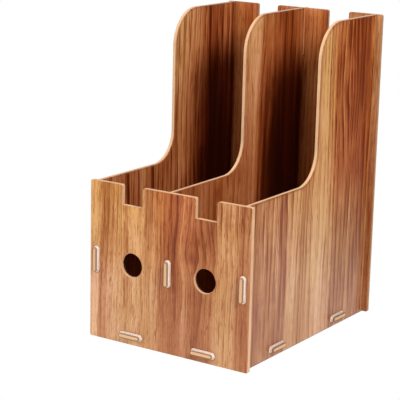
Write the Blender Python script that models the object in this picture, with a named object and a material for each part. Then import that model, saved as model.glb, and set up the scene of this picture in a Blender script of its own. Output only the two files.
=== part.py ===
"""Magazine file with two compartments, cut from thin film-faced fibreboard.

Six flat boards lock together: tabs on one board pass through slots in the next
and stand a little proud of it. Nothing moves once the file is assembled.

Units are metres and +Z is up. The low front faces -Y, and the origin is on the
resting plane, midway across the width and the depth.
"""

import math

import bmesh
import bpy
from mathutils import Vector

# Overall sizes
HEIGHT = 0.320
WIDTH = 0.1885
DEPTH = 0.246
BOARD = 0.0045

# Profile shared by the two sides and the divider
FRONT_HEIGHT = 0.162
SHOULDER_SETBACK = 0.130
TOE_RADIUS = 0.032
CROWN_RADIUS = 0.038
SIDE_INSET = 0.0055

# Finger notches and finger holes, one of each for a compartment
NOTCH_WIDTH = 0.0245
NOTCH_DEPTH = 0.020
FINGER_HOLE_DIAMETER = 0.024
FINGER_HOLE_HEIGHT = 0.082

# Tabs and the slots that take them
TAB_LENGTH = 0.025
TAB_REACH = 0.0042
TAB_CORNER = 0.0010
FRONT_TAB_HEIGHT = 0.0815
REAR_TAB_HEIGHT = 0.0815
UPPER_REAR_TAB_DROP = 0.070
TONGUE_LENGTH = 0.048
BASE_TAB_SPACING = 0.122
BASE_LIFT = 0.0068

# Eased corners, and the clearance between boards that meet
CORNER_RADIUS = 0.002
FIT = 0.0003

# Fineness of the round stretches, and the distance at which points become one
ARC_STEP = math.radians(7.5)
HOLE_SIDES = 48
WELD = 0.000001

# Places that follow from the sizes above
FRONT_FACE = -DEPTH / 2
BACK_FACE = DEPTH / 2
FRONT_INSIDE = FRONT_FACE + BOARD
BACK_INSIDE = BACK_FACE - BOARD
SIDE_OUTSIDE = WIDTH / 2 - SIDE_INSET
SIDE_INSIDE = SIDE_OUTSIDE - BOARD
COMPARTMENT_CENTRE = (SIDE_INSIDE + BOARD / 2) / 2
BASE_TOP = BASE_LIFT + BOARD
THROUGH_REACH = FIT + BOARD + TAB_REACH
UPPER_REAR_TAB_HEIGHT = HEIGHT - UPPER_REAR_TAB_DROP

# How a flat outline is turned: across the file, along it, or left lying
UPRIGHT_ACROSS = (math.pi / 2, 0.0, 0.0)
UPRIGHT_ALONG = (math.pi / 2, 0.0, math.pi / 2)
LYING = (0.0, 0.0, 0.0)

# Finish of the film, and the tone of each board as linear colour
FILM_ROUGHNESS = 0.45
FRONT_TONE = (0.50, 0.25, 0.10)
BACK_TONE = (0.36, 0.15, 0.06)
LEFT_TONE = (0.40, 0.17, 0.07)
RIGHT_TONE = (0.42, 0.19, 0.09)
DIVIDER_TONE = (0.40, 0.17, 0.07)
BASE_TONE = (0.38, 0.17, 0.07)


def clear_scene():
    """Remove whatever the scene starts with."""
    for item in list(bpy.data.objects):
        bpy.data.objects.remove(item, do_unlink=True)


def new_collection(name):
    """Make a collection under the scene and return it."""
    collection = bpy.data.collections.new(name)
    bpy.context.scene.collection.children.link(collection)
    return collection


def film_material(name, tone):
    """Printed wood film on a board: a satin, non-metallic surface."""
    material = bpy.data.materials.new(name)
    material.use_nodes = True
    shader = material.node_tree.nodes["Principled BSDF"]
    shader.inputs["Base Color"].default_value = (*tone, 1.0)
    shader.inputs["Roughness"].default_value = FILM_ROUGHNESS
    shader.inputs["Metallic"].default_value = 0.0
    material.diffuse_color = (*tone, 1.0)
    return material


def rounded(corners):
    """Turn corners (u, v, radius) into outline points, with an arc at each round corner."""
    points = []
    for index, (u, v, radius) in enumerate(corners):
        corner = Vector((u, v))
        if radius <= 0:
            points.append(corner)
            continue
        to_last = (Vector(corners[index - 1][:2]) - corner).normalized()
        to_next = (Vector(corners[(index + 1) % len(corners)][:2]) - corner).normalized()
        half_angle = to_last.angle(to_next) / 2
        centre = corner + (to_last + to_next).normalized() * radius / math.sin(half_angle)
        start = corner + to_last * radius / math.tan(half_angle) - centre
        end = corner + to_next * radius / math.tan(half_angle) - centre
        sweep = start.angle_signed(end)
        steps = max(2, math.ceil(abs(sweep) / ARC_STEP))
        for step in range(steps + 1):
            turn = -sweep * step / steps
            points.append(centre + Vector((
                start.x * math.cos(turn) - start.y * math.sin(turn),
                start.x * math.sin(turn) + start.y * math.cos(turn))))
    return points


def edge(start, end, centres, length=TAB_LENGTH, reach=THROUGH_REACH, root=0.0, tip=TAB_CORNER):
    """Corners of the tabs along a straight edge, centred at these distances from its start.

    The outline runs anticlockwise, so a tab stands out to the right of the way
    from start to end, and a negative reach makes a notch. Root and tip are the
    radii where a tab leaves the edge and at its outer corners, and the tip's is
    no larger than the tab has room for.
    """
    tip = min(tip, abs(reach), length / 2)
    start = Vector(start)
    way = (Vector(end) - start).normalized()
    out = Vector((way.y, -way.x)) * reach
    corners = []
    for centre in centres:
        near = start + way * (centre - length / 2)
        far = start + way * (centre + length / 2)
        corners += [(*near, root), (*(near + out), tip), (*(far + out), tip), (*far, root)]
    return corners


def slot(centre_u, centre_v, size_u, size_v):
    """Outline of a slot that clears a tab of the given section by the fit."""
    half_u = size_u / 2 + FIT
    half_v = size_v / 2 + FIT
    return [Vector((centre_u + su * half_u, centre_v + sv * half_v))
            for su, sv in ((-1, -1), (1, -1), (1, 1), (-1, 1))]


def circle(centre_u, centre_v, diameter):
    """Outline of a round hole."""
    turns = [2 * math.pi * side / HOLE_SIDES for side in range(HOLE_SIDES)]
    return [Vector((centre_u + diameter / 2 * math.cos(turn), centre_v + diameter / 2 * math.sin(turn)))
            for turn in turns]


def turn_flat_triangles(shape):
    """Give an area to each filling triangle whose three corners lie in one line.

    Its longest side is turned to join its middle corner to the triangle beyond.
    """
    for _ in range(len(shape.faces)):
        for face in shape.faces:
            longest = max(face.edges, key=lambda line: line.calc_length())
            if len(face.verts) == 3 and 2 * face.calc_area() < WELD * longest.calc_length():
                bmesh.ops.rotate_edges(shape, edges=[longest])
                break
        else:
            return


def close_caps(mesh):
    """Weld the two filled faces to the rim, and even out the triangles that fill them."""
    shape = bmesh.new()
    shape.from_mesh(mesh)
    bmesh.ops.remove_doubles(shape, verts=shape.verts, dist=WELD)
    fill = [face for face in shape.faces if len(face.verts) == 3]
    inner = [line for line in shape.edges if all(len(face.verts) == 3 for face in line.link_faces)]
    bmesh.ops.beautify_fill(shape, faces=fill, edges=inner, method="ANGLE")
    turn_flat_triangles(shape)
    bmesh.ops.recalc_face_normals(shape, faces=shape.faces)
    shape.to_mesh(mesh)
    shape.free()


def board(name, collection, outline, holes, location, rotation, tone):
    """One flat board: an outline with its holes, filled and given its thickness."""
    data = bpy.data.curves.new(name, "CURVE")
    data.dimensions = "2D"
    data.fill_mode = "BOTH"
    data.extrude = BOARD / 2
    for points in [outline, *holes]:
        spline = data.splines.new("POLY")
        spline.points.add(len(points) - 1)
        for target, point in zip(spline.points, points):
            target.co = (point.x, point.y, 0.0, 1.0)
        spline.use_cyclic_u = True
    flat = bpy.data.objects.new(name + "_outline", data)
    collection.objects.link(flat)
    flat.location = location
    flat.rotation_euler = rotation
    bpy.context.view_layer.update()

    mesh = bpy.data.meshes.new_from_object(flat.evaluated_get(bpy.context.evaluated_depsgraph_get()))
    mesh.name = name
    close_caps(mesh)
    mesh.materials.clear()
    mesh.materials.append(film_material(name + "_film", tone))
    piece = bpy.data.objects.new(name, mesh)
    collection.objects.link(piece)
    piece.matrix_world = flat.matrix_world.copy()
    bpy.data.objects.remove(flat, do_unlink=True)
    return piece


def front_or_back_outline(height, top_gaps):
    """Upright board across the file, with gaps (centre, width, depth, mouth radius) in its top edge."""
    half = WIDTH / 2
    corners = [(-half, 0.0, CORNER_RADIUS), (half, 0.0, CORNER_RADIUS), (half, height, CORNER_RADIUS)]
    for centre, width, depth, mouth in sorted(top_gaps, reverse=True):
        corners += edge((half, height), (-half, height), [half - centre], width, -depth, mouth, 0.0)
    corners.append((-half, height, CORNER_RADIUS))
    return rounded(corners)


def finger_notches():
    """One finger notch over each compartment."""
    return [(side * COMPARTMENT_CENTRE, NOTCH_WIDTH, NOTCH_DEPTH, CORNER_RADIUS) for side in (-1, 1)]


def base_tab_slots():
    """Slots that take the base's tabs in the front or back board."""
    middle = BASE_LIFT + BOARD / 2
    return [slot(side * COMPARTMENT_CENTRE, middle, TAB_LENGTH, BOARD) for side in (-1, 1)]


def upright_planes():
    """Middle planes of the left side, the divider and the right side."""
    side_plane = SIDE_OUTSIDE - BOARD / 2
    return [-side_plane, 0.0, side_plane]


def build_front(collection):
    """Low front board, with a notch and a finger hole for each compartment."""
    holes = base_tab_slots()
    holes += [slot(plane, FRONT_TAB_HEIGHT, BOARD, TAB_LENGTH) for plane in upright_planes()]
    holes += [circle(side * COMPARTMENT_CENTRE, FINGER_HOLE_HEIGHT, FINGER_HOLE_DIAMETER) for side in (-1, 1)]
    outline = front_or_back_outline(FRONT_HEIGHT, finger_notches())
    place = (0.0, FRONT_FACE + BOARD / 2, 0.0)
    return board("front_panel", collection, outline, holes, place, UPRIGHT_ACROSS, FRONT_TONE)


def build_back(collection):
    """Tall back board, notched like the front, with an open slot for the divider's tongue."""
    holes = base_tab_slots()
    holes += [slot(plane, REAR_TAB_HEIGHT, BOARD, TAB_LENGTH) for plane in upright_planes()]
    holes += [slot(plane, UPPER_REAR_TAB_HEIGHT, BOARD, TAB_LENGTH) for plane in upright_planes() if plane]
    tongue_slot = (0.0, BOARD + 2 * FIT, TONGUE_LENGTH + FIT, 0.0)
    outline = front_or_back_outline(HEIGHT, [*finger_notches(), tongue_slot])
    place = (0.0, BACK_FACE - BOARD / 2, 0.0)
    return board("back_panel", collection, outline, holes, place, UPRIGHT_ACROSS, BACK_TONE)


def stepped_outline(bottom, bottom_tabs, rear_tabs, tongue):
    """Upright board along the file: low at the front, sweeping up to full height at the back.

    The profile's toe and crown are tangent to the upright edge between them.
    A tongue, where there is one, stands out behind at the very top.
    """
    front = FRONT_INSIDE + FIT
    back = BACK_INSIDE - FIT
    shoulder = FRONT_FACE + SHOULDER_SETBACK
    corners = [(front, bottom, 0.0)]
    corners += edge((front, bottom), (back, bottom), bottom_tabs, TAB_LENGTH, BOARD + FIT)
    corners.append((back, bottom, 0.0))
    corners += edge((back, bottom), (back, HEIGHT), [height - bottom for height in rear_tabs])
    if tongue:
        root = HEIGHT - TONGUE_LENGTH
        corners += [(back, root, 0.0), (back + THROUGH_REACH, root, TAB_CORNER)]
        corners.append((back + THROUGH_REACH, HEIGHT, TAB_CORNER))
    else:
        corners.append((back, HEIGHT, 0.0))
    corners += [(shoulder, HEIGHT, CROWN_RADIUS), (shoulder, FRONT_HEIGHT, TOE_RADIUS)]
    corners.append((front, FRONT_HEIGHT, 0.0))
    corners += edge((front, FRONT_HEIGHT), (front, bottom), [FRONT_HEIGHT - FRONT_TAB_HEIGHT])
    return rounded(corners)


def base_tab_places():
    """Places along the depth where the base meets the sides and the divider."""
    return [end * BASE_TAB_SPACING / 2 for end in (-1, 1)]


def build_sides(collection):
    """Left and right sides: the same board, slotted for the base's tabs."""
    outline = stepped_outline(0.0, (), [REAR_TAB_HEIGHT, UPPER_REAR_TAB_HEIGHT], False)
    holes = [slot(place, BASE_LIFT + BOARD / 2, TAB_LENGTH, BOARD) for place in base_tab_places()]
    left, _, right = upright_planes()
    board("left_side_panel", collection, outline, holes, (left, 0.0, 0.0), UPRIGHT_ALONG, LEFT_TONE)
    board("right_side_panel", collection, outline, holes, (right, 0.0, 0.0), UPRIGHT_ALONG, RIGHT_TONE)


def build_divider(collection):
    """Board between the compartments: stands on the base, tabbed down through it."""
    front = FRONT_INSIDE + FIT
    tabs = [place - front for place in base_tab_places()]
    outline = stepped_outline(BASE_TOP + FIT, tabs, [REAR_TAB_HEIGHT], True)
    place = (0.0, 0.0, 0.0)
    return board("centre_divider", collection, outline, [], place, UPRIGHT_ALONG, DIVIDER_TONE)


def build_base(collection):
    """Floor of both compartments, tabbed out through all four walls."""
    half = SIDE_INSIDE - FIT
    front = FRONT_INSIDE + FIT
    back = BACK_INSIDE - FIT
    across = [half + side * COMPARTMENT_CENTRE for side in (-1, 1)]
    along = [place - front for place in base_tab_places()]
    corners = [(-half, front, 0.0)]
    corners += edge((-half, front), (half, front), across)
    corners.append((half, front, 0.0))
    corners += edge((half, front), (half, back), along)
    corners.append((half, back, 0.0))
    corners += edge((half, back), (-half, back), across)
    corners.append((-half, back, 0.0))
    corners += edge((-half, back), (-half, front), along)
    holes = [slot(0.0, place, BOARD, TAB_LENGTH) for place in base_tab_places()]
    lifted = (0.0, 0.0, BASE_LIFT + BOARD / 2)
    return board("base_panel", collection, rounded(corners), holes, lifted, LYING, BASE_TONE)


def main():
    """Build the six boards."""
    clear_scene()
    collection = new_collection("magazine_file")
    build_front(collection)
    build_back(collection)
    build_sides(collection)
    build_divider(collection)
    build_base(collection)


main()
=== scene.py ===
"""Looks of the magazine file: six film-faced fibreboard boards, slotted together.

Each board takes its outline from the solid of the same name, and is built again
with eased edges, bare fibreboard along its cuts, bare tabs and a printed wood
film on both faces. Units are metres, +Z is up and the low front faces -Y.
"""

import math
from collections import namedtuple

import bmesh
import bpy
from mathutils import Matrix, Vector


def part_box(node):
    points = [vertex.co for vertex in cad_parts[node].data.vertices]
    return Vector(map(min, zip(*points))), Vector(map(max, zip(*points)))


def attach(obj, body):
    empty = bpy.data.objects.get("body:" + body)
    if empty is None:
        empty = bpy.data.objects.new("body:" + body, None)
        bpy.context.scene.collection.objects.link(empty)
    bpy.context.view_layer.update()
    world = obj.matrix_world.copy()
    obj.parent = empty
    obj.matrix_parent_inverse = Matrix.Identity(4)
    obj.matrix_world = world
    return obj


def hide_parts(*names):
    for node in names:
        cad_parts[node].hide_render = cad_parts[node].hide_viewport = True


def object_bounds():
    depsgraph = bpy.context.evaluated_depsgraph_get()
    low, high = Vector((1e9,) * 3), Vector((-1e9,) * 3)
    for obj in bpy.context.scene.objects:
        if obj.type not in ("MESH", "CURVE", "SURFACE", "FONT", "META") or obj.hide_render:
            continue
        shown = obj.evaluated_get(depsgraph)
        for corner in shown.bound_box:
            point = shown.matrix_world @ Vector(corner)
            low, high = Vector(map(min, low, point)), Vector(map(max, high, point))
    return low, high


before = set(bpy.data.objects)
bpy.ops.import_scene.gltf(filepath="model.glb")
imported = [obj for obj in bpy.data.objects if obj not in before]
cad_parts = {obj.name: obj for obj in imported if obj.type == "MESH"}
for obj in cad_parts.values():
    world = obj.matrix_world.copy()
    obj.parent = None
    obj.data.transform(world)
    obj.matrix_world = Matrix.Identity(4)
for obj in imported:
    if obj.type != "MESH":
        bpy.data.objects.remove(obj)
solid_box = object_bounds()

# Camera: where it stands and how it is turned, for a square picture
CAMERA_PLACE = (0.79798, -1.27063, 0.49368)
CAMERA_AZIMUTH = math.radians(33.591)
CAMERA_ELEVATION = math.radians(13.587)
CAMERA_ROLL = math.radians(1.364)
CAMERA_SENSOR = 36.0
CAMERA_LENS = 135.21

# Eased edges: how far each kind is cut back across the face, and down the wall
EDGE_EASE = 0.00025
FILM_ROLL = 0.0013
OPEN_SLOT_EASE = 0.0013
OPEN_SLOT_DROP = 0.0001
SLOT_EASE = 0.0013
SLOT_DROP = 0.0004
SLOT_SHARP = 0.00001
HOLE_EASE = 0.0007
HOLE_DROP = 0.0026
TAB_END_EASE = 0.0002
EASE_STEPS = 2

# Borders that carry marks: the film beside a cut, and the end of a tab
WEAR_BORDER = 0.0006
TAB_END_BORDER = 0.0009

# Slots for tabs: corners in the solid, how much closer they fit here, and steps of a quarter turn
SLOT_CORNERS = 4
SLOT_GRIP = 0.00025
ROUND_STEPS = 6

# Limits: points that are one, places on a wall, faces that look along an axis, and sharp edges
WELD = 0.000001
ON_WALL = 0.0001
LOOKING = 0.9
SHARP_ANGLE = math.radians(20)

# Floor: its size, tones and tooth (features to the metre, detail), and the part around the file that glows
FLOOR_RADIUS = 9.0
FLOOR_SIDES = 96
FLOOR_TONES = ((0.3, (0.20, 0.20, 0.20)), (0.7, (0.22, 0.22, 0.22)))
FLOOR_TOOTH = (300.0, 3.0)
FLOOR_ROUGHNESS = 0.9
GLOW_RANGE = (0.20, 0.60)
GLOW_STRENGTH = 1.05
WHITE = (1.0, 1.0, 1.0, 1.0)

# Light of the room, and the soft boxes: azimuth, elevation, distance, size and power
ROOM_LIGHT = 0.01
SOFT_BOXES = (
    ("key_soft_box", 66.0, 32.0, 1.5, 0.50, 28.0),
    ("left_soft_box", -30.0, 24.0, 1.6, 0.90, 16.0),
    ("front_soft_box", -3.0, 20.0, 1.8, 0.25, 8.0),
    ("top_soft_box", -90.0, 80.0, 1.5, 0.60, 11.0),
    ("rear_soft_box", 190.0, 35.0, 2.0, 1.20, 8.0),
)

# Places read from the solids
FRONT_LOW, FRONT_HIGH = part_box("front_panel")
BACK_LOW, BACK_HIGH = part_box("back_panel")
LEFT_LOW, LEFT_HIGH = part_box("left_side_panel")
RIGHT_LOW, RIGHT_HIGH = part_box("right_side_panel")
BASE_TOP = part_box("base_panel")[1].z
DIVIDER_LOW, DIVIDER_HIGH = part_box("centre_divider")
TAB_REACH = FRONT_LOW.y - LEFT_LOW.y

# Axes by number
X, Y, Z = 0, 1, 2

# Material slots of a board's mesh, in the order in which build_board fills them
FILM, CORE, TAB, PAINTED_SHADE_WALL, PAINTED_GAP_LIGHT, TANNED = 0, 1, 2, 3, 4, 5

# Kinds of loop in a board, and the material slot of the wall along each
OUTLINE, SLOT, HOLE = "outline", "slot", "hole"
# Walls of slots and holes take a nearly black material: painted shade
WALL_SLOTS = {OUTLINE: CORE, SLOT: PAINTED_SHADE_WALL, HOLE: PAINTED_SHADE_WALL}

# Marks kept at the points of a mesh beside a cut, and the name they are kept by
WORN, CLEAN, SCORCHED, CHARRED = 1.0, 0.0, -0.8, -3.0
RIM = "rim"

# How an edge is eased: across the face, down the wall, its material slot and the mark beside it
Ease = namedtuple("Ease", "back down slot mark")

# Printed grain: its tone, the parts that relief, tints and gloss follow, and the place on the board
Grain = namedtuple("Grain", "shade fine marks drift streak share height")

# Ranges that a share runs over, up or down
RISING = (0.0, 1.0)
FALLING = (1.0, 0.0)


def add(tree, kind, inputs=None, **options):
    """Add a shader node, set its options, and set or link its inputs."""
    node = tree.nodes.new(kind)
    for name, value in options.items():
        setattr(node, name, value)
    for name, value in (inputs or {}).items():
        if isinstance(value, bpy.types.NodeSocket):
            tree.links.new(value, node.inputs[name])
        else:
            node.inputs[name].default_value = value
    return node


def maths(tree, operation, first, second=0.0):
    """Result of one calculation on two values."""
    return add(tree, "ShaderNodeMath", {0: first, 1: second}, operation=operation).outputs[0]


def remap(tree, value, old, new):
    """Value moved from an old range to a new one, and kept inside it."""
    ends = {"From Min": old[0], "From Max": old[1], "To Min": new[0], "To Max": new[1]}
    return add(tree, "ShaderNodeMapRange", {"Value": value, **ends}).outputs["Result"]


def ramp(tree, value, stops, interpolation="LINEAR"):
    """Colour ramp through stops (place, colour)."""
    node = add(tree, "ShaderNodeValToRGB", {"Fac": value})
    elements = node.color_ramp.elements
    node.color_ramp.interpolation = interpolation
    while len(elements) < len(stops):
        elements.new(1.0)
    for element, (place, colour) in zip(elements, stops):
        element.position = place
        element.color = (*colour, 1.0)
    return node.outputs["Color"]


def grey_ramp(tree, value, stops):
    """Smooth ramp of plain values through stops (place, value)."""
    return ramp(tree, value, [(place, (level, level, level)) for place, level in stops], "EASE")


def mix(tree, factor, first, second, blend="MIX"):
    """Blend of two colours."""
    node = add(tree, "ShaderNodeMix", data_type="RGBA", blend_type=blend)
    for name, value in (("Factor_Float", factor), ("A_Color", first), ("B_Color", second)):
        socket = next(item for item in node.inputs if item.identifier == name)
        if isinstance(value, bpy.types.NodeSocket):
            tree.links.new(value, socket)
        else:
            socket.default_value = value if name == "Factor_Float" else (*value, 1.0)
    return next(item for item in node.outputs if item.identifier == "Result_Color")


def noise(tree, across, along, scale_across, scale_along, seed, detail, roughness=0.5):
    """Noise drawn out along the grain: scales are features to the metre."""
    vector = add(tree, "ShaderNodeCombineXYZ", {
        "X": maths(tree, "MULTIPLY", across, scale_across),
        "Y": maths(tree, "MULTIPLY", along, scale_along),
        "Z": seed}).outputs[0]
    inputs = {"Vector": vector, "Scale": 1.0, "Detail": detail, "Roughness": roughness}
    return add(tree, "ShaderNodeTexNoise", inputs).outputs["Fac"]


def speckle(tree, scale, detail):
    """Noise that is even all ways: scale is features to the metre."""
    coordinates = add(tree, "ShaderNodeTexCoord").outputs["Object"]
    inputs = {"Vector": coordinates, "Scale": scale, "Detail": detail}
    return add(tree, "ShaderNodeTexNoise", inputs).outputs["Fac"]


def place_of(tree):
    """The three coordinates of the point that is shaded."""
    coordinates = add(tree, "ShaderNodeTexCoord").outputs["Object"]
    return add(tree, "ShaderNodeSeparateXYZ", {0: coordinates}).outputs


def rim_of(tree):
    """The mark that the mesh keeps at the point that is shaded."""
    return add(tree, "ShaderNodeAttribute", attribute_name=RIM).outputs["Fac"]


def add_bump(tree, shader, strength, height):
    """Give a shader the fine relief of this height."""
    bump = add(tree, "ShaderNodeBump", {"Strength": strength, "Distance": RELIEF, "Height": height})
    tree.links.new(bump.outputs["Normal"], shader.inputs["Normal"])


def new_material(name):
    """Material with a Principled shader; returns it, its tree and the shader."""
    material = bpy.data.materials.new(name)
    material.use_nodes = True
    tree = material.node_tree
    return material, tree, tree.nodes["Principled BSDF"]


# Tones of the printed wood, from its darkest streaks to its palest bands
WOOD_TONES = (
    (0.00, (0.055, 0.007, 0.0015)),
    (0.15, (0.115, 0.021, 0.004)),
    (0.30, (0.180, 0.042, 0.010)),
    (0.45, (0.245, 0.076, 0.022)),
    (0.60, (0.310, 0.117, 0.043)),
    (0.75, (0.375, 0.172, 0.070)),
    (0.88, (0.440, 0.229, 0.106)),
    (1.00, (0.520, 0.298, 0.150)),
)

# Tints of the film: red and golden where a board has them, a plum cast low down that is a painted reflection
# of the white floor, and a drift from gold to rose
RUSSET_TINT = (1.0, 0.73, 0.54)
HONEY_TINT = (1.0, 1.0, 0.70)
FLOOR_REFLECTION_TINT = (0.95, 1.0, 1.10)
FLOOR_REFLECTION_HEIGHTS = (0.15, 0.55)
DRIFT_TINTS = ((0.35, (1.0, 1.0, 0.88)), (0.65, (1.0, 0.94, 1.0)))

# Noises of the grain: features to the metre across and along it, step of the seed, detail and roughness
GRAIN_NOISES = {
    "wander": (9.0, 4.0, 0.0, 2.0, 0.5),
    "ripple": (50.0, 14.0, 1.7, 2.0, 0.5),
    "kink": (170.0, 75.0, 2.9, 2.0, 0.5),
    "streak": (70.0, 4.0, 3.1, 6.0, 0.62),
    "drift": (24.0, 12.0, 7.9, 2.0, 0.5),
    "dash": (460.0, 36.0, 17.3, 2.0, 0.5),
    "gate": (60.0, 26.0, 15.1, 3.0, 0.5),
    "fine_gate": (150.0, 55.0, 19.7, 2.0, 0.5),
    "pore": (1300.0, 150.0, 9.2, 1.0, 0.5),
    "chip": (420.0, 420.0, 11.0, 3.0, 0.5),
}

# How far noise moves the grain sideways
WARPS = (("wander", 0.009), ("ripple", 0.0022), ("kink", 0.0014))

# Streaks and drifts of tone, and the range of streaks over which gloss changes
STREAK_SWING = 0.85
DRIFT_SWING = 0.40
STREAK_RANGE = (0.2, 0.8)

# Growth lines, wide and fine: count to the metre, step of the seed, depths where faint and where clear;
# then the gate between faint and clear, what their tone gains in return, and how sharply they end
GROWTH_LINES = (170.0, 5.3, (0.05, 0.50))
FINE_LINES = (430.0, 13.4, (0.068, 0.34))
GATE_RANGE = (0.35, 0.65)
LINE_LIFT = 0.15
LINE_SHARPNESS = 2.2

# How loosely growth lines run: noise to a line across, to the metre along, its detail and reach in lines
LOOSE_ACROSS = 0.25
LOOSE_ALONG = 7.0
LOOSE_DETAIL = 3.0
LOOSE_LINES = 3.0

# Dark hairs and pores: the noise in which they show, how dark they are, and what the tone gains in return
HAIR_RANGE = (0.61, 0.67)
HAIR_GATE = (0.60, 0.42)
HAIR_DEPTHS = (0.15, 0.55)
HAIR_LIFT = 0.05
PORE_RANGE = (0.58, 0.70)
PORE_DEPTHS = (0.0, 0.40)
MARK_DEPTH = 0.85

# Where the grain is calmer, by tone, knot and height; where its tone rises, as painted shade and light by
# height; where its darkest tone falls
BAND_RANGE = (0.40, 0.80)
KNOT_RANGE = (0.05, 0.25)
KNOT_CALM = (1.0, 0.45)
FADE_HEIGHTS = (0.1, 0.9)
PAINTED_RISE_HEIGHTS = (0.5, 1.0)
LEAST_HEIGHTS = (0.3, 0.6)
LEAST_SHARES = (1.0, 0.6)

# Film beside a cut: chipped where it is worn, browned where scorched, and almost black where charred
WORN_RANGE = (0.35, 1.0)
CHIP_RANGE = (0.55, 0.70)
CHIP_DEPTHS = (0.0, 0.6)
SCORCH_RANGE = (-0.2, -1.0)
SCORCH_DEPTHS = (0.0, 0.7)
SCORCH_LINE = (0.14, 0.045, 0.018)
CHAR_RANGE = (-1.0, -2.0)
CHAR_DEPTHS = (0.0, 0.85)
CHAR_LINE = (0.04, 0.012, 0.005)

# Gloss and relief of the film
FILM_GLOSS = 0.36
SHADED_GLOSS = 0.12
FILM_SHEEN = (1.0, 0.88, 0.76, 1.0)
FILM_ROUGHNESS = (0.38, 0.28)
WORN_ROUGHNESS = 0.3
FILM_BUMP = 0.2
RELIEF = 0.0002

# Tones of the cut fibreboard, and of its border with the film: pale, tan on the back panel, nearly black as
# painted shade in slots and holes, brightened with painted light beside the tongue, and tan around the finger
# holes
BARE_CORE = (0.51, 0.308, 0.174)
PALE_CUT = ((0.30, (0.43, 0.25, 0.135)), (0.50, BARE_CORE), (0.70, (0.58, 0.37, 0.22)))
PALE_CUT_LINE = (0.22, 0.095, 0.040)
TAN_CUT = ((0.30, (0.28, 0.14, 0.070)), (0.50, (0.36, 0.185, 0.095)), (0.70, (0.43, 0.24, 0.13)))
TAN_CUT_LINE = (0.16, 0.055, 0.020)
# Walls of slots and holes: nearly black, as painted shade
PAINTED_SHADE_CUT = ((0.30, (0.008, 0.002, 0.0005)), (0.50, (0.014, 0.004, 0.001)), (0.70, (0.024, 0.008, 0.003)))
PAINTED_SHADE_CUT_LINE = (0.04, 0.015, 0.006)
# Beside the tongue the cut is bare fibreboard brightened and reddened with painted light, the light that
# shows through the gap there
PAINTED_GAP_LIGHT_CUT = ((0.30, (0.52, 0.19, 0.08)), (0.50, (0.62, 0.24, 0.10)), (0.70, (0.70, 0.30, 0.14)))
PAINTED_GAP_LIGHT_CUT_LINE = (0.30, 0.12, 0.05)
HOLE_CUT = ((0.30, (0.36, 0.19, 0.10)), (0.50, (0.44, 0.24, 0.13)), (0.70, (0.50, 0.29, 0.16)))
HOLE_CUT_LINE = (0.20, 0.08, 0.03)

# Fibres and blotches of a cut (features to the metre, detail), their shares of its tone, its border and shine
CUT_FIBRES = (1500.0, 3.0)
CUT_BLOTCHES = (90.0, 2.0)
FIBRE_SHARE = 0.6
BLOTCH_SHARE = 0.4
BORDER_DEPTH = 0.7
CUT_ROUGHNESS = 0.8
CUT_GLOSS = 0.2
PAINTED_SHADE_CUT_GLOSS = 0.02
CUT_BUMP = 0.3

# Tones of a tab from the inner face of its wall to its tip, and of the dark border of its end
TAB_ROOT = (0.22, 0.080, 0.030)
TAB_SIDE = (0.66, 0.53, 0.46)
TAB_LINE = (0.20, 0.12, 0.08)
TAB_END = (0.50, 0.30, 0.16)
TAB_TONES = (
    (0.25, TAB_ROOT), (0.40, TAB_SIDE), (0.77, TAB_SIDE),
    (0.81, TAB_LINE), (0.94, TAB_LINE), (0.98, TAB_END))
TAB_EDGE = (0.10, 0.055, 0.032)
TAB_EDGE_RANGE = (0.1, 0.6)
TAB_EDGE_DEPTHS = (0.0, 0.85)

# Fibres of a tab: features to the metre, detail, how far they move its tones, and their own tone
TAB_FIBRES = (1300.0, 3.0)
TAB_STRAY_RANGE = (0.2, 0.8)
TAB_STRAY = (-0.015, 0.015)
TAB_FIBRE = (0.45, 0.27, 0.14)
TAB_FIBRE_RANGE = (0.45, 0.75)
TAB_FIBRE_DEPTHS = (0.0, 0.25)
TAB_ROUGHNESS = 0.7
TAB_GLOSS = 0.15
TAB_BUMP = 0.25


def centred(tree, value, amount):
    """Noise moved to swing this much around nothing."""
    return maths(tree, "MULTIPLY", maths(tree, "SUBTRACT", value, 0.5), amount)


def grain_noise(tree, across, along, name, seed, pitch=1.0):
    """One of the noises of the grain, with its features this many times as close across it."""
    scale_across, scale_along, step, detail, roughness = GRAIN_NOISES[name]
    return noise(tree, across, along, scale_across * pitch, scale_along, seed + step, detail, roughness)


def growth_lines(tree, across, along, kind, gate, look):
    """Lines that each darken slowly across the grain and end sharply, clearer where the gate is high."""
    count, step, depths = kind
    count *= look["pitch"]
    loose = noise(tree, across, along, count * LOOSE_ACROSS, LOOSE_ALONG, look["seed"] + step, LOOSE_DETAIL)
    moved = maths(tree, "MULTIPLY", loose, LOOSE_LINES)
    phase = maths(tree, "ADD", maths(tree, "MULTIPLY", across, count), moved)
    lines = maths(tree, "POWER", maths(tree, "FRACT", phase), LINE_SHARPNESS)
    return maths(tree, "MULTIPLY", lines, remap(tree, gate, GATE_RANGE, depths))


def nearness(tree, aside, beyond, half_width, half_length):
    """How near a point is to the middle of a soft oval: one there, and nothing far away."""
    wide = maths(tree, "DIVIDE", aside, half_width)
    long = maths(tree, "DIVIDE", beyond, half_length)
    squared = maths(tree, "ADD", maths(tree, "POWER", wide, 2.0), maths(tree, "POWER", long, 2.0))
    return maths(tree, "POWER", math.e, maths(tree, "MULTIPLY", squared, -1.0))


def bend_round(tree, across, along, figures):
    """Push the grain aside around each figure (across, along, half width, half length, pull)."""
    bent = across
    for centre_across, centre_along, half_width, half_length, pull in figures:
        aside = maths(tree, "SUBTRACT", across, centre_across)
        beyond = maths(tree, "SUBTRACT", along, centre_along)
        near = nearness(tree, aside, beyond, half_width, half_length)
        push = maths(tree, "MULTIPLY", maths(tree, "MULTIPLY", aside, near), pull)
        bent = maths(tree, "SUBTRACT", bent, push)
    return bent


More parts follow.
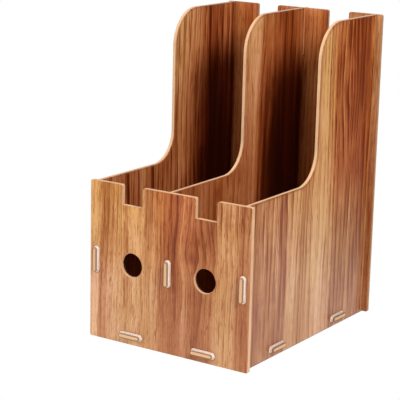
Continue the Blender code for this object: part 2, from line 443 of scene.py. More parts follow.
def knot_depth(tree, across, along, knots):
    """How far soft knots (across, along, half width, half length, depth) darken a point.

    A knot with a negative depth is a paler patch.
    """
    total = 0.0
    for centre_across, centre_along, half_width, half_length, depth in knots:
        aside = maths(tree, "SUBTRACT", across, centre_across)
        beyond = maths(tree, "SUBTRACT", along, centre_along)
        near = nearness(tree, aside, beyond, half_width, half_length)
        total = maths(tree, "ADD", total, maths(tree, "MULTIPLY", near, depth))
    return total


def grain_marks(tree, across, bent, run, gate, look):
    """How dark the hairs and pores are at a point."""
    dash = grain_noise(tree, bent, run, "dash", look["seed"], look["pitch"])
    pore = grain_noise(tree, across, run, "pore", look["seed"])
    depth = maths(tree, "MULTIPLY", remap(tree, gate, HAIR_GATE, HAIR_DEPTHS), look["hairs"])
    hairs = maths(tree, "MULTIPLY", remap(tree, dash, HAIR_RANGE, RISING), depth)
    return maths(tree, "MAXIMUM", remap(tree, pore, PORE_RANGE, PORE_DEPTHS), hairs)


def film_grain(tree, place, across_axis, along_axis, low, high, look):
    """The printed grain of a board's film, between the low and high corners of its box, with the painted
    shade that some looks put in its bands and rise.
    """
    across = place[across_axis]
    along = place[along_axis]
    seed = look["seed"]
    run = maths(tree, "MULTIPLY", along, look["haste"])
    bent = bend_round(tree, across, along, look["figures"])
    for name, reach in WARPS:
        bent = maths(tree, "ADD", bent, centred(tree, grain_noise(tree, across, run, name, seed), reach))
    share = remap(tree, bent, (low[across_axis], high[across_axis]), RISING)
    height = remap(tree, along, (low[along_axis], high[along_axis]), RISING)

    side_axis = X + Y + Z - across_axis - along_axis
    high_face = maths(tree, "GREATER_THAN", place[side_axis], (low[side_axis] + high[side_axis]) / 2)
    low_face = maths(tree, "SUBTRACT", 1.0, high_face)
    high_band = maths(tree, "MULTIPLY", grey_ramp(tree, share, look["high_bands"]), high_face)
    low_band = maths(tree, "MULTIPLY", grey_ramp(tree, share, look["low_bands"]), low_face)
    band = maths(tree, "ADD", high_band, low_band)
    # painted shade by height on the high face: darker low down and lighter at the top
    painted_lift = maths(tree, "MULTIPLY", remap(tree, height, PAINTED_RISE_HEIGHTS, look["rise"]), high_face)

    streak = grain_noise(tree, bent, run, "streak", seed)
    drift = grain_noise(tree, bent, run, "drift", seed)
    gate = grain_noise(tree, bent, run, "gate", seed)
    fine_gate = grain_noise(tree, bent, run, "fine_gate", seed)
    growth = growth_lines(tree, bent, run, GROWTH_LINES, gate, look)
    fine = growth_lines(tree, bent, run, FINE_LINES, fine_gate, look)
    lines = maths(tree, "SUBTRACT", LINE_LIFT, maths(tree, "ADD", growth, fine))
    sway = maths(tree, "ADD", centred(tree, streak, STREAK_SWING), centred(tree, drift, DRIFT_SWING))
    sway = maths(tree, "MULTIPLY", sway, look["swing"])
    sway = maths(tree, "ADD", sway, maths(tree, "MULTIPLY", lines, look["lines"]))

    knots = knot_depth(tree, across, along, look["knots"])
    calm = remap(tree, band, BAND_RANGE, look["calm"])
    calm = maths(tree, "MULTIPLY", calm, remap(tree, knots, KNOT_RANGE, KNOT_CALM))
    calm = maths(tree, "MULTIPLY", calm, remap(tree, height, FADE_HEIGHTS, look["fade"]))
    shade = maths(tree, "ADD", band, painted_lift)
    shade = maths(tree, "ADD", shade, maths(tree, "MULTIPLY", sway, calm))
    shade = maths(tree, "ADD", shade, HAIR_LIFT)
    shade = maths(tree, "SUBTRACT", shade, knots)

    marks = grain_marks(tree, across, bent, run, gate, look)
    kept = maths(tree, "SUBTRACT", 1.0, maths(tree, "MULTIPLY", marks, MARK_DEPTH))
    least = maths(tree, "MULTIPLY", remap(tree, height, LEAST_HEIGHTS, LEAST_SHARES), look["least"])
    shade = maths(tree, "MAXIMUM", maths(tree, "MULTIPLY", shade, kept), least)
    return Grain(shade, fine, marks, drift, streak, share, height)


def tinted(tree, colour, grain, plan, tint):
    """Colour with a tint by its plan: stops across the grain, and heights where it starts and is full."""
    if plan is None:
        return colour
    stops, start, full = plan
    amount = maths(tree, "MULTIPLY", grey_ramp(tree, grain.share, stops),
                   remap(tree, grain.height, (start, full), RISING))
    return mix(tree, amount, colour, tint, "MULTIPLY")


def film_colour(tree, grain, look):
    """Colour of the printed grain, with the tints of its board, and a painted reflection of the floor low
    down.
    """
    colour = ramp(tree, grain.shade, WOOD_TONES)
    colour = tinted(tree, colour, grain, look["russet"], RUSSET_TINT)
    colour = mix(tree, 1.0, colour, ramp(tree, grain.drift, DRIFT_TINTS), "MULTIPLY")
    colour = tinted(tree, colour, grain, look["honey"], HONEY_TINT)
    # painted reflection of the white floor: a plum cast that fades out from the bottom upward
    return mix(tree, remap(tree, grain.height, FLOOR_REFLECTION_HEIGHTS, FALLING), colour, FLOOR_REFLECTION_TINT, "MULTIPLY")


def film_material(name, across_axis, along_axis, low, high, look):
    """Printed wood film: bands, streaks, growth lines, hairs and pores, worn or scorched beside cuts."""
    material, tree, shader = new_material(name)
    place = place_of(tree)
    grain = film_grain(tree, place, across_axis, along_axis, low, high, look)
    colour = film_colour(tree, grain, look)

    rim = rim_of(tree)
    chips = grain_noise(tree, place[across_axis], place[along_axis], "chip", look["seed"])
    worn = maths(tree, "MULTIPLY", remap(tree, rim, WORN_RANGE, RISING),
                 remap(tree, chips, CHIP_RANGE, CHIP_DEPTHS))
    colour = mix(tree, worn, colour, BARE_CORE)
    colour = mix(tree, remap(tree, rim, SCORCH_RANGE, SCORCH_DEPTHS), colour, SCORCH_LINE)
    colour = mix(tree, remap(tree, rim, CHAR_RANGE, CHAR_DEPTHS), colour, CHAR_LINE)
    tree.links.new(colour, shader.inputs["Base Color"])

    rough = maths(tree, "ADD", remap(tree, grain.streak, STREAK_RANGE, FILM_ROUGHNESS),
                  maths(tree, "MULTIPLY", worn, WORN_ROUGHNESS))
    tree.links.new(rough, shader.inputs["Roughness"])
    shader.inputs["Specular IOR Level"].default_value = look["gloss"]
    shader.inputs["Specular Tint"].default_value = FILM_SHEEN
    relief = maths(tree, "SUBTRACT", maths(tree, "MULTIPLY", grain.fine, -1.0), grain.marks)
    add_bump(tree, shader, FILM_BUMP, relief)
    return material


def core_material(name, tones, border, gloss=CUT_GLOSS):
    """Fibreboard along the cuts in these tones, speckled with fibres and darker where it meets the film; the
    tones of slot and hole walls are painted shade, and those beside the tongue painted light.
    """
    material, tree, shader = new_material(name)
    fibre = speckle(tree, *CUT_FIBRES)
    blotch = speckle(tree, *CUT_BLOTCHES)
    mottle = maths(tree, "ADD", maths(tree, "MULTIPLY", fibre, FIBRE_SHARE),
                   maths(tree, "MULTIPLY", blotch, BLOTCH_SHARE))
    colour = ramp(tree, mottle, tones)
    colour = mix(tree, maths(tree, "MULTIPLY", rim_of(tree), BORDER_DEPTH), colour, border)
    tree.links.new(colour, shader.inputs["Base Color"])
    shader.inputs["Roughness"].default_value = CUT_ROUGHNESS
    shader.inputs["Specular IOR Level"].default_value = gloss
    add_bump(tree, shader, CUT_BUMP, fibre)
    return material


def tab_material(name):
    """Bare tab: pale by the wall it comes through, tan on its end, with a dark line between them."""
    material, tree, shader = new_material(name)
    place = place_of(tree)
    past_side = maths(tree, "SUBTRACT", maths(tree, "ABSOLUTE", place[X]), RIGHT_HIGH.x)
    past_front = maths(tree, "SUBTRACT", maths(tree, "ABSOLUTE", place[Y]), BACK_HIGH.y)
    by_front = maths(tree, "GREATER_THAN", maths(tree, "ABSOLUTE", place[Y]), BACK_LOW.y - TAB_REACH)
    by_side = maths(tree, "SUBTRACT", 1.0, by_front)
    past = maths(tree, "ADD", maths(tree, "MULTIPLY", past_front, by_front),
                 maths(tree, "MULTIPLY", past_side, by_side))
    reach = remap(tree, past, (BACK_LOW.y - BACK_HIGH.y, TAB_REACH), RISING)
    fibre = speckle(tree, *TAB_FIBRES)
    strayed = maths(tree, "ADD", reach, remap(tree, fibre, TAB_STRAY_RANGE, TAB_STRAY))
    colour = ramp(tree, strayed, TAB_TONES)
    colour = mix(tree, remap(tree, fibre, TAB_FIBRE_RANGE, TAB_FIBRE_DEPTHS), colour, TAB_FIBRE)
    colour = mix(tree, remap(tree, rim_of(tree), TAB_EDGE_RANGE, TAB_EDGE_DEPTHS), colour, TAB_EDGE)
    tree.links.new(colour, shader.inputs["Base Color"])
    shader.inputs["Roughness"].default_value = TAB_ROUGHNESS
    shader.inputs["Specular IOR Level"].default_value = TAB_GLOSS
    add_bump(tree, shader, TAB_BUMP, fibre)
    return material


def face_loops(node, axis):
    """Outline loops on the upper flat face of a solid board, with the board on the left of each."""
    shape = bmesh.new()
    shape.from_mesh(node.data)
    bmesh.ops.remove_doubles(shape, verts=shape.verts, dist=WELD)
    follows = {}
    for face in shape.faces:
        if face.normal[axis] < LOOKING:
            continue
        for corner in face.loops:
            if corner.link_loop_radial_next.face.normal[axis] < LOOKING:
                follows[corner.vert] = corner.link_loop_next.vert
    loops = []
    while follows:
        first, point = follows.popitem()
        loop = [first]
        while point is not first:
            loop.append(point)
            point = follows.pop(point)
        loops.append([point.co.copy() for point in loop])
    shape.free()
    return loops


def inward(points):
    """How each corner moves when the loop's edges all move in by one."""
    moves = []
    for index, point in enumerate(points):
        before = (point - points[index - 1]).normalized()
        after = (points[(index + 1) % len(points)] - point).normalized()
        left_before = Vector((-before.y, before.x))
        left_after = Vector((-after.y, after.x))
        moves.append((left_before + left_after) / (1 + left_before.dot(left_after)))
    return moves


def round_ended(corners):
    """The slot with these four corners, round-ended and close around its tab."""
    centre = sum(corners, Vector((0.0, 0.0))) / len(corners)
    middles = [(corners[index] + corners[index - 1]) / 2 - centre for index in range(len(corners))]
    far_end = max(middles, key=lambda middle: middle.length)
    radius = min(middle.length for middle in middles)
    along = far_end.normalized()
    straight = along * (far_end.length - radius)
    points = []
    for way in (1, -1):
        for step in range(ROUND_STEPS * 2 + 1):
            turn = Matrix.Rotation(math.pi * (0.5 - step / (ROUND_STEPS * 2)), 2)
            points.append(centre + (straight + turn @ along * (radius - SLOT_GRIP)) * way)
    return points


def rounded_section(half_width, half_height, radius):
    """Points around a rectangle with round corners, centred on nothing."""
    points = []
    for corner, (side, level) in enumerate(((1, 1), (-1, 1), (-1, -1), (1, -1))):
        centre = Vector((side * (half_width - radius), level * (half_height - radius)))
        for step in range(ROUND_STEPS + 1):
            turn = math.pi / 2 * (corner + step / ROUND_STEPS)
            point = centre + Vector((math.cos(turn), math.sin(turn))) * radius
            if not points or (point - points[-1]).length > WELD:
                points.append(point)
    if (points[0] - points[-1]).length < WELD:
        points.pop()
    return points


class BoardMesh:
    """Mesh of one flat board, built from the outline loops of its solid.

    Field is the room between the walls around the board, past which its edge is
    a tab. Outer is the side, 1 or -1, where other boards' tabs come out of it.
    Rolled is the side where the film is rolled over the edge by the cutter, or
    0 if there is none. Open slot is the range across the board in which its
    edge is cut back on both sides, where it has a slot that is open at one end.
    """

    def __init__(self, node, axis, field, outer, rolled, open_slot):
        self.axis = axis
        self.flat = [(axis + 1) % 3, (axis + 2) % 3]
        self.field = field
        self.outer = outer
        self.rolled = rolled
        self.open_slot = open_slot
        low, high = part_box(node.name)
        self.middle = (low[axis] + high[axis]) / 2
        self.half = (high[axis] - low[axis]) / 2
        self.shape = bmesh.new()
        self.rim = self.shape.verts.layers.float.new(RIM)
        self.inner_edges = {-1: [], 1: []}
        loops = [[Vector((point[self.flat[0]], point[self.flat[1]])) for point in loop]
                 for loop in face_loops(node, axis)]
        outline = max(loops, key=lambda points: max(point.x for point in points))
        for points in loops:
            if points is outline:
                self.add_loop([self.gripped(point) for point in self.without_tabs(points)], OUTLINE)
            elif len(points) == SLOT_CORNERS:
                self.add_loop(round_ended(points), SLOT)
            else:
                self.add_loop(points, HOLE)
        for side in (-1, 1):
            filled = bmesh.ops.triangle_fill(self.shape, use_beauty=True, edges=self.inner_edges[side])
            for item in filled["geom"]:
                if isinstance(item, bmesh.types.BMFace):
                    item.material_index = FILM
        bmesh.ops.recalc_face_normals(self.shape, faces=self.shape.faces)

    def vertex(self, point, depth, mark=CLEAN):
        """Add a vertex at a point of the outline's plane, this far from the board's middle, with a mark."""
        place = Vector((0.0, 0.0, 0.0))
        place[self.flat[0]] = point[0]
        place[self.flat[1]] = point[1]
        place[self.axis] = self.middle + depth
        vertex = self.shape.verts.new(place)
        vertex[self.rim] = mark
        return vertex

    def face(self, corners, slot):
        """Add one face with the material of this slot."""
        self.shape.faces.new(corners).material_index = slot

    def strip(self, first, second, slots):
        """Join two rings of vertices with faces, of one slot or one for each face."""
        for index in range(len(first)):
            after = (index + 1) % len(first)
            slot = slots if isinstance(slots, int) else slots[index]
            self.face([first[index], first[after], second[after], second[index]], slot)

    def past_wall(self, point):
        """Which way of the outline's plane a point runs past a wall, or None."""
        for way, axis in enumerate(self.flat):
            low, high = self.field[axis]
            if point[way] < low - ON_WALL or point[way] > high + ON_WALL:
                return way
        return None

    def without_tabs(self, points):
        """Outline of the board's body, with its tabs added apart."""
        count = len(points)
        body = []
        for index, point in enumerate(points):
            if self.past_wall(point) is not None:
                continue
            body.append(point)
            step = index + 1
            run = []
            while self.past_wall(points[step % count]) is not None:
                run.append(points[step % count])
                step += 1
            if run:
                body += self.add_tab(point, run, points[step % count])
        return body

    def add_tab(self, start, run, end):
        """Add the tab whose outline is this run of points, and return any corner that it leaves.

        Its section is round at both ends, to fit a slot with round ends, and
        its end is darkened along the edge. A tab at the very end of a board's
        edge sits in an open slot, and stays square and clean.
        """
        out = self.past_wall(run[0])
        across = 1 - out
        tip = max((point[out] for point in run), key=lambda value: abs(value - start[out]))
        root = min((start[out], end[out]), key=lambda value: abs(tip - value))
        open_ended = abs(start[out] - end[out]) > ON_WALL
        spread = [point[across] for point in run]
        centre = (min(spread) + max(spread)) / 2
        half_width = (max(spread) - min(spread)) / 2
        radius = EDGE_EASE if open_ended else self.half
        way = 1 if tip > root else -1
        levels = [(root, 0.0, CLEAN), (tip - way * TAB_END_EASE, 0.0, CLEAN)]
        if open_ended:
            levels += [(tip, TAB_END_EASE, CLEAN)]
        else:
            levels += [(tip, TAB_END_EASE, WORN), (tip, TAB_END_EASE + TAB_END_BORDER, CLEAN)]
        rings = []
        for reach, cut, mark in levels:
            ring = []
            for wide, deep in rounded_section(half_width - cut, self.half - cut, radius - cut):
                point = [0.0, 0.0]
                point[out] = reach
                point[across] = centre + wide
                ring.append(self.vertex(point, deep, mark))
            rings.append(ring)
        for lower, upper in zip(rings, rings[1:]):
            self.strip(lower, upper, TAB)
        self.face(rings[0], TAB)
        self.face(rings[-1], TAB)
        if not open_ended:
            return []
        corner = end.copy()
        corner[out] = root
        return [corner]

    def in_open_slot(self, point):
        """Whether a point of the outline lies in the board's open slot."""
        return bool(self.open_slot) and self.open_slot[0] < point.y < self.open_slot[1]

    def gripped(self, point):
        """The point, or in the open slot a point closer to the tongue that sits there."""
        if not self.in_open_slot(point):
            return point
        return Vector((point.x, point.y - math.copysign(SLOT_GRIP, point.y)))

    def ease_of(self, point, side, kind):
        """How the edge is eased at a point of a loop, on one side of the board."""
        if kind == SLOT and side == self.outer:
            return Ease(SLOT_EASE, SLOT_DROP, TAB, CHARRED)
        if kind == SLOT:
            # the inner side of a slot keeps the nearly black painted shade of its wall
            return Ease(SLOT_SHARP, SLOT_SHARP, PAINTED_SHADE_WALL, CLEAN)
        if kind == HOLE and side == self.outer:
            return Ease(HOLE_EASE, HOLE_DROP, TANNED, CLEAN)
        if self.in_open_slot(point):
            # the eased edge beside the tongue: bare cut brightened with painted light
            return Ease(OPEN_SLOT_EASE, OPEN_SLOT_DROP, PAINTED_GAP_LIGHT, CLEAN)
        if kind == OUTLINE and side == self.rolled:
            return Ease(FILM_ROLL, FILM_ROLL, FILM, SCORCHED)
        return Ease(EDGE_EASE, EDGE_EASE, CORE, WORN)

    def add_loop(self, points, kind):
        """Add the wall, eased edges and border of film that follow one loop."""
        moves = inward(points)
        walls = []
        for side in (-1, 1):
            eases = [self.ease_of(point, side, kind) for point in points]
            slots = [min(here.slot, after.slot) for here, after in zip(eases, eases[1:] + eases[:1])]
            rings = []
            for step in range(EASE_STEPS + 1):
                turn = math.pi / 2 * step / EASE_STEPS
                ring = []
                for point, move, ease in zip(points, moves, eases):
                    place = point + move * ease.back * (1 - math.cos(turn))
                    depth = side * (self.half - ease.down * (1 - math.sin(turn)))
                    fade = 1.0 if ease.slot == FILM else math.sin(turn)
                    ring.append(self.vertex(place, depth, ease.mark * fade))
                rings.append(ring)
            for lower, upper in zip(rings, rings[1:]):
                self.strip(lower, upper, slots)
            walls.append(rings[0])
            film = [point + move * ease.back for point, move, ease in zip(points, moves, eases)]
            self.add_border(rings[-1], film, side)
        self.strip(*walls, WALL_SLOTS[kind])

    def add_border(self, rim, points, side):
        """Add the strip of film along a loop, and keep its inner edges for the fill."""
        moves = inward(points)
        inner = [self.vertex(point + move * WEAR_BORDER, side * self.half)
                 for point, move in zip(points, moves)]
        self.strip(rim, inner, FILM)
        for index, vertex in enumerate(inner):
            self.inner_edges[side].append(self.shape.edges.get((inner[index - 1], vertex)))

    def finish(self, name, materials):
        """Turn the shape into an object with these materials."""
        mesh = bpy.data.meshes.new(name)
        self.shape.to_mesh(mesh)
        self.shape.free()
        for material in materials:
            mesh.materials.append(material)
        mesh.shade_smooth()
        mesh.set_sharp_from_angle(angle=SHARP_ANGLE)
        piece = bpy.data.objects.new(name, mesh)
        bpy.context.scene.collection.objects.link(piece)
        return piece


# Rooms between the walls around a board, and the range across the back panel that holds its open slot
EVERYWHERE = (-1.0, 1.0)
BETWEEN_WALLS = (FRONT_HIGH.y, BACK_LOW.y)
BETWEEN_SIDES = (LEFT_HIGH.x, RIGHT_LOW.x)
WIDE_FIELD = (EVERYWHERE, EVERYWHERE, EVERYWHERE)
SIDE_FIELD = (EVERYWHERE, BETWEEN_WALLS, EVERYWHERE)
DIVIDER_FIELD = (EVERYWHERE, BETWEEN_WALLS, (BASE_TOP, 1.0))
BASE_FIELD = (BETWEEN_SIDES, BETWEEN_WALLS, EVERYWHERE)
BESIDE_TONGUE = (DIVIDER_LOW.x * 2, DIVIDER_HIGH.x * 2)

# Materials that the boards share
CORE_MATERIAL = core_material("bare_fibreboard", PALE_CUT, PALE_CUT_LINE)
TAN_MATERIAL = core_material("tanned_cut", TAN_CUT, TAN_CUT_LINE)
# nearly black walls of slots and holes: painted shade
PAINTED_SHADE_MATERIAL = core_material("painted_shade_cut", PAINTED_SHADE_CUT, PAINTED_SHADE_CUT_LINE, PAINTED_SHADE_CUT_GLOSS)
# bare cut beside the tongue, brightened with painted light
PAINTED_GAP_LIGHT_MATERIAL = core_material("gap_light_cut", PAINTED_GAP_LIGHT_CUT, PAINTED_GAP_LIGHT_CUT_LINE)
HOLE_MATERIAL = core_material("hole_cut", HOLE_CUT, HOLE_CUT_LINE)
TAB_MATERIAL = tab_material("bare_tab")

# Tones across the grain of a face that has none of its own
PLAIN_BANDS = (
    (0.0, 0.55), (0.14, 0.62), (0.22, 0.48), (0.30, 0.44), (0.34, 0.70), (0.45, 0.66), (0.56, 0.78),
    (0.64, 0.70), (0.68, 0.52), (0.79, 0.56), (0.85, 0.46), (1.0, 0.55))

# Heights of a tint that is full all the way up
EVERY_HEIGHT = (-0.2, -0.1)

# Look of each board's film.
# seed: where its noises start
# pitch, haste: how close its lines and hairs are across the grain, and how fast it changes along the grain
# swing, lines, hairs: strength of its streaks, growth lines and hairs
# calm, fade: strength of streaks and lines in dark and pale bands, and low down and high up
# rise: what the tone gains up to halfway and at the top, on the face that looks right, back or up: painted
# shade and light by height
# least, gloss: its darkest tone, and its shine
# high_bands, low_bands: tones across the grain, on the face that looks right, back or up, and on the other
# russet, honey: plans of its red and golden tints, or None
# figures, knots: what bends and what darkens the grain, each as bend_round and knot_depth say
FRONT_LOOK = {
    "seed": 1.0, "pitch": 1.0, "haste": 1.0, "swing": 1.15, "lines": 0.85, "hairs": 1.0,
    "calm": (1.10, 0.95), "fade": (0.55, 1.4), "rise": (0.0, 0.0), "least": 0.25, "gloss": FILM_GLOSS,
    "high_bands": PLAIN_BANDS,
    "low_bands": (
        (0.0, 0.86), (0.055, 0.82), (0.075, 0.65), (0.11, 0.64), (0.13, 0.79), (0.27, 0.87), (0.355, 0.81),
        (0.375, 0.68), (0.44, 0.70), (0.46, 0.56), (0.53, 0.42), (0.57, 0.44), (0.60, 0.60), (0.64, 0.48),
        (0.68, 0.40), (0.72, 0.52), (0.77, 0.46), (0.79, 0.71), (0.86, 0.80), (0.905, 0.74), (0.925, 0.56),
        (1.0, 0.54)),
    "russet": (((0.0, 0.2), (0.36, 0.25), (0.46, 1.0), (0.60, 1.0), (0.78, 0.2), (1.0, 0.0)), 0.4, 1.0),
    "honey": (((0.0, 1.0), (0.30, 0.9), (0.40, 0.3), (0.60, 0.0), (1.0, 0.0)), 0.45, 0.85),
    "figures": ((0.030, 0.108, 0.016, 0.024, 0.75), (-0.060, 0.060, 0.020, 0.080, 0.40)),
    "knots": (
        (0.0275, 0.101, 0.0045, 0.006, 0.20), (0.034, 0.124, 0.014, 0.016, 0.12),
        (0.070, 0.135, 0.022, 0.030, -0.05), (0.036, 0.035, 0.010, 0.045, 0.12),
        (0.052, 0.045, 0.008, 0.045, -0.14), (0.088, 0.045, 0.006, 0.045, 0.16),
        (-0.029, 0.010, 0.012, 0.018, 0.09), (-0.086, 0.030, 0.006, 0.020, -0.14),
        (0.051, 0.132, 0.009, 0.016, 0.11), (-0.040, 0.120, 0.008, 0.014, 0.08)),
}
BACK_LOOK = {
    "seed": 21.0, "pitch": 1.0, "haste": 0.7, "swing": 1.1, "lines": 0.8, "hairs": 1.0,
    "calm": (1.35, 0.65), "fade": (1.0, 1.0), "rise": (0.0, 0.0), "least": 0.0, "gloss": SHADED_GLOSS,
    "high_bands": PLAIN_BANDS,
    "low_bands": (
        (0.0, 0.56), (0.3, 0.50), (0.5, 0.65), (0.75, 0.57), (0.95, 0.56), (0.98, 0.58), (1.0, 0.58)),
    "russet": (
        ((0.0, 1.0), (0.70, 1.0), (0.78, 0.0), (0.955, 0.0), (0.975, 0.5), (1.0, 0.5)), *EVERY_HEIGHT),
    "honey": None,
    "figures": ((0.040, 0.220, 0.018, 0.070, 0.60),),
    "knots": (
        (0.0945, 0.300, 0.005, 0.110, -0.60), (0.020, 0.245, 0.020, 0.035, -0.12),
        (0.075, 0.316, 0.020, 0.012, -0.10)),
}
LEFT_LOOK = {
    "seed": 41.0, "pitch": 0.6, "haste": 0.5, "swing": 1.5, "lines": 1.4, "hairs": 1.0,
    # On this inner face the rise, and the high bands that fall to nearly nothing toward the rear, are painted
    # shade: darker low down, and the shadow that the divider casts across it
    "calm": (1.35, 0.90), "fade": (1.0, 1.0), "rise": (-0.22, 0.28), "least": 0.0, "gloss": FILM_GLOSS,
    "high_bands": (
        (0.0, 0.58), (0.2, 0.64), (0.42, 0.66), (0.50, 0.70), (0.58, 0.70), (0.65, 0.47), (0.69, 0.33),
        (0.73, 0.18), (0.77, 0.05), (0.83, 0.0), (0.89, 0.12), (1.0, 0.20)),
    "low_bands": PLAIN_BANDS,
    "russet": (((0.0, 0.5), (0.45, 0.25), (0.56, 0.25), (0.70, 0.7), (1.0, 0.7)), *EVERY_HEIGHT),
    "honey": None,
    "figures": ((0.060, 0.180, 0.020, 0.090, 0.60),),
    "knots": (
        (0.110, 0.290, 0.010, 0.035, -0.17), (0.0095, 0.150, 0.008, 0.018, -0.18),
        (0.0815, 0.300, 0.010, 0.020, 0.08)),
}
DIVIDER_LOOK = {
    "seed": 81.0, "pitch": 0.6, "haste": 0.6, "swing": 1.0, "lines": 0.8, "hairs": 1.0,
    # On the divider's right face the rise, and the high bands that fall to nearly nothing toward the rear,
    # are painted shade: darker low down, and the shadow that the right side panel casts across it
    "calm": (1.35, 0.65), "fade": (1.0, 1.0), "rise": (-0.20, 0.34), "least": 0.0, "gloss": FILM_GLOSS,
    "high_bands": (
        (0.0, 0.55), (0.2, 0.63), (0.4, 0.61), (0.5, 0.63), (0.58, 0.71), (0.62, 0.65), (0.66, 0.38),
        (0.70, 0.23), (0.77, 0.07), (0.85, 0.02), (0.90, 0.08), (0.95, 0.23), (1.0, 0.23)),
    "low_bands": ((0.0, 0.45), (0.5, 0.50), (0.65, 0.40), (1.0, 0.34)),
    "russet": (((0.0, 0.45), (0.60, 0.35), (0.72, 0.75), (1.0, 0.75)), *EVERY_HEIGHT),
    "honey": None,
    "figures": ((0.050, 0.200, 0.018, 0.080, 0.60),),
    "knots": (
        (0.077, 0.284, 0.008, 0.030, -0.16), (0.113, 0.280, 0.010, 0.030, -0.12),
        (0.046, 0.285, 0.006, 0.035, 0.14), (0.034, 0.190, 0.007, 0.025, -0.12),
        (-0.040, 0.147, 0.008, 0.010, 0.20), (-0.013, 0.142, 0.012, 0.012, -0.15)),
}
RIGHT_LOOK = {
    "seed": 61.0, "pitch": 0.75, "haste": 0.6, "swing": 0.85, "lines": 1.3, "hairs": 0.3,
    "calm": (1.45, 0.72), "fade": (0.85, 1.6), "rise": (0.0, 0.02), "least": 0.26, "gloss": FILM_GLOSS,
    "high_bands": (
        (0.0, 0.50), (0.10, 0.50), (0.15, 0.58), (0.19, 0.60), (0.23, 0.48), (0.265, 0.38), (0.295, 0.36),
        (0.31, 0.70), (0.36, 0.80), (0.42, 0.68), (0.46, 0.70), (0.51, 0.76), (0.56, 0.90), (0.585, 0.86),
        (0.605, 0.68), (0.635, 0.74), (0.66, 0.50), (0.75, 0.46), (0.79, 0.52), (0.83, 0.38), (0.89, 0.41),
        (0.925, 0.43), (0.95, 0.44), (1.0, 0.46)),
    "low_bands": PLAIN_BANDS,
    "russet": (((0.0, 0.0), (0.60, 0.2), (0.66, 1.0), (1.0, 1.0)), 0.3, 0.55),
    "honey": (((0.0, 0.2), (0.45, 0.6), (0.62, 0.6), (0.68, 0.1), (1.0, 0.3)), 0.25, 0.6),
    "figures": ((0.010, 0.125, 0.022, 0.070, 0.40), (0.070, 0.250, 0.016, 0.040, 0.60)),
    "knots": (
        (-0.095, 0.045, 0.030, 0.060, 0.11), (0.092, 0.270, 0.034, 0.100, 0.18),
        (0.116, 0.300, 0.006, 0.060, -0.16), (0.020, 0.120, 0.045, 0.040, -0.05),
        (0.024, 0.250, 0.020, 0.050, -0.05), (0.018, 0.175, 0.030, 0.025, 0.06),
        (0.010, 0.072, 0.050, 0.022, -0.07), (-0.020, 0.012, 0.070, 0.018, 0.08),
        (0.033, 0.200, 0.006, 0.050, -0.14), (0.080, 0.165, 0.022, 0.022, 0.07),
        (0.042, 0.276, 0.010, 0.022, 0.12), (0.079, 0.220, 0.005, 0.025, 0.10)),
}
BASE_LOOK = {
    "seed": 101.0, "pitch": 1.0, "haste": 1.0, "swing": 1.0, "lines": 0.8, "hairs": 1.0,
    "calm": (1.35, 0.65), "fade": (1.0, 1.0), "rise": (0.0, 0.0), "least": 0.0, "gloss": FILM_GLOSS,
    "high_bands": ((0.0, 0.50), (0.5, 0.55), (1.0, 0.50)),
    "low_bands": PLAIN_BANDS,
    "russet": (((0.0, 0.5), (1.0, 0.5)), *EVERY_HEIGHT),
    "honey": None,
    "figures": ((0.0, 0.0, 0.020, 0.070, 0.60),),
    "knots": (),
}


def build_board(node_name, slot_name, axis, field, sides, grain, look, edge=CORE_MATERIAL, open_slot=None):
    """One board in place of its solid; sides are outer and rolled, grain is its axes across and along."""
    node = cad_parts[node_name]
    film = film_material(slot_name, *grain, *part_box(node_name), look)
    mesh = BoardMesh(node, axis, field, *sides, open_slot)
    cuts = [edge, TAB_MATERIAL, PAINTED_SHADE_MATERIAL, PAINTED_GAP_LIGHT_MATERIAL, HOLE_MATERIAL]
    piece = mesh.finish(node_name + "_board", [film, *cuts])
    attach(piece, "root")
    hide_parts(node_name)


def build_floor():
    """Plain white floor that shows no shadow, and glows around the file as a lit table does."""
    bpy.ops.mesh.primitive_circle_add(vertices=FLOOR_SIDES, radius=FLOOR_RADIUS, fill_type="NGON")
    floor = bpy.context.object
    floor.name = "floor"
    material, tree, shader = new_material("floor_paper")
    colour = ramp(tree, speckle(tree, *FLOOR_TOOTH), FLOOR_TONES)
    tree.links.new(colour, shader.inputs["Base Color"])
    shader.inputs["Roughness"].default_value = FLOOR_ROUGHNESS
    coordinates = add(tree, "ShaderNodeTexCoord").outputs["Object"]
    away = add(tree, "ShaderNodeVectorMath", {0: coordinates}, operation="LENGTH").outputs["Value"]
    glow = remap(tree, away, GLOW_RANGE, (GLOW_STRENGTH, 0.0))
    shader.inputs["Emission Color"].default_value = WHITE
    tree.links.new(glow, shader.inputs["Emission Strength"])
    white = add(tree, "ShaderNodeEmission", {"Color": WHITE, "Strength": 1.0})
    seen = add(tree, "ShaderNodeLightPath").outputs["Is Camera Ray"]
    shades = {0: seen, 1: shader.outputs["BSDF"], 2: white.outputs["Emission"]}
    both = add(tree, "ShaderNodeMixShader", shades)
    tree.links.new(both.outputs["Shader"], tree.nodes["Material Output"].inputs["Surface"])
    floor.data.materials.append(material)


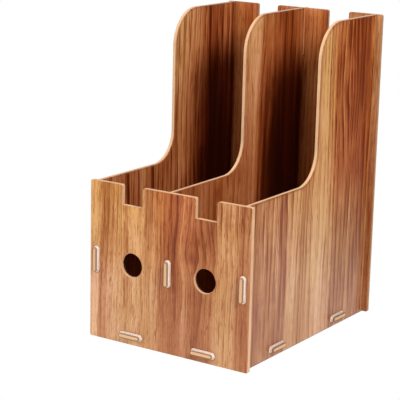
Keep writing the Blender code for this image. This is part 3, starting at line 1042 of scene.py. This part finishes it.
def soft_box(name, azimuth, elevation, distance, size, power):
    """Square soft light that faces the middle of the file; azimuth 0 is in front of it, 90 at its right."""
    light = bpy.data.lights.new(name, "AREA")
    light.shape = "SQUARE"
    light.size = size
    light.energy = power
    lamp = bpy.data.objects.new(name, light)
    bpy.context.scene.collection.objects.link(lamp)
    turn = math.radians(azimuth)
    rise = math.radians(elevation)
    away = Vector((math.sin(turn) * math.cos(rise), -math.cos(turn) * math.cos(rise), math.sin(rise)))
    target = (solid_box[0] + solid_box[1]) / 2
    lamp.location = target + away * distance
    lamp.rotation_euler = away.to_track_quat("Z", "Y").to_euler()


def build_light():
    """Soft boxes at the right, left, front, top and rear, in a dim room."""
    world = bpy.data.worlds.new("room")
    world.use_nodes = True
    background = world.node_tree.nodes["Background"]
    background.inputs["Color"].default_value = WHITE
    background.inputs["Strength"].default_value = ROOM_LIGHT
    bpy.context.scene.world = world
    for lamp in SOFT_BOXES:
        soft_box(*lamp)


def build_camera():
    """Camera at the viewing angle of the picture."""
    data = bpy.data.cameras.new("camera")
    data.sensor_width = CAMERA_SENSOR
    data.lens = CAMERA_LENS
    camera = bpy.data.objects.new("camera", data)
    bpy.context.scene.collection.objects.link(camera)
    back = Vector((
        math.sin(CAMERA_AZIMUTH) * math.cos(CAMERA_ELEVATION),
        -math.cos(CAMERA_AZIMUTH) * math.cos(CAMERA_ELEVATION),
        math.sin(CAMERA_ELEVATION)))
    turn = back.to_track_quat("Z", "Y").to_matrix() @ Matrix.Rotation(CAMERA_ROLL, 3, "Z")
    camera.matrix_world = Matrix.Translation(CAMERA_PLACE) @ turn.to_4x4()
    bpy.context.scene.camera = camera


def main():
    """Dress the six boards and set the studio around them."""
    build_board("front_panel", "front_film", Y, WIDE_FIELD, (-1, 0), (X, Z), FRONT_LOOK)
    build_board("back_panel", "back_film", Y, WIDE_FIELD, (1, -1), (X, Z), BACK_LOOK,
                TAN_MATERIAL, BESIDE_TONGUE)
    build_board("left_side_panel", "left_film", X, SIDE_FIELD, (-1, 1), (Y, Z), LEFT_LOOK)
    build_board("right_side_panel", "right_film", X, SIDE_FIELD, (1, 1), (Y, Z), RIGHT_LOOK)
    build_board("centre_divider", "divider_film", X, DIVIDER_FIELD, (1, 1), (Y, Z), DIVIDER_LOOK)
    build_board("base_panel", "base_film", Z, BASE_FIELD, (-1, 1), (X, Y), BASE_LOOK)
    build_floor()
    build_light()
    build_camera()
    bpy.context.scene.view_settings.view_transform = "Standard"


main()
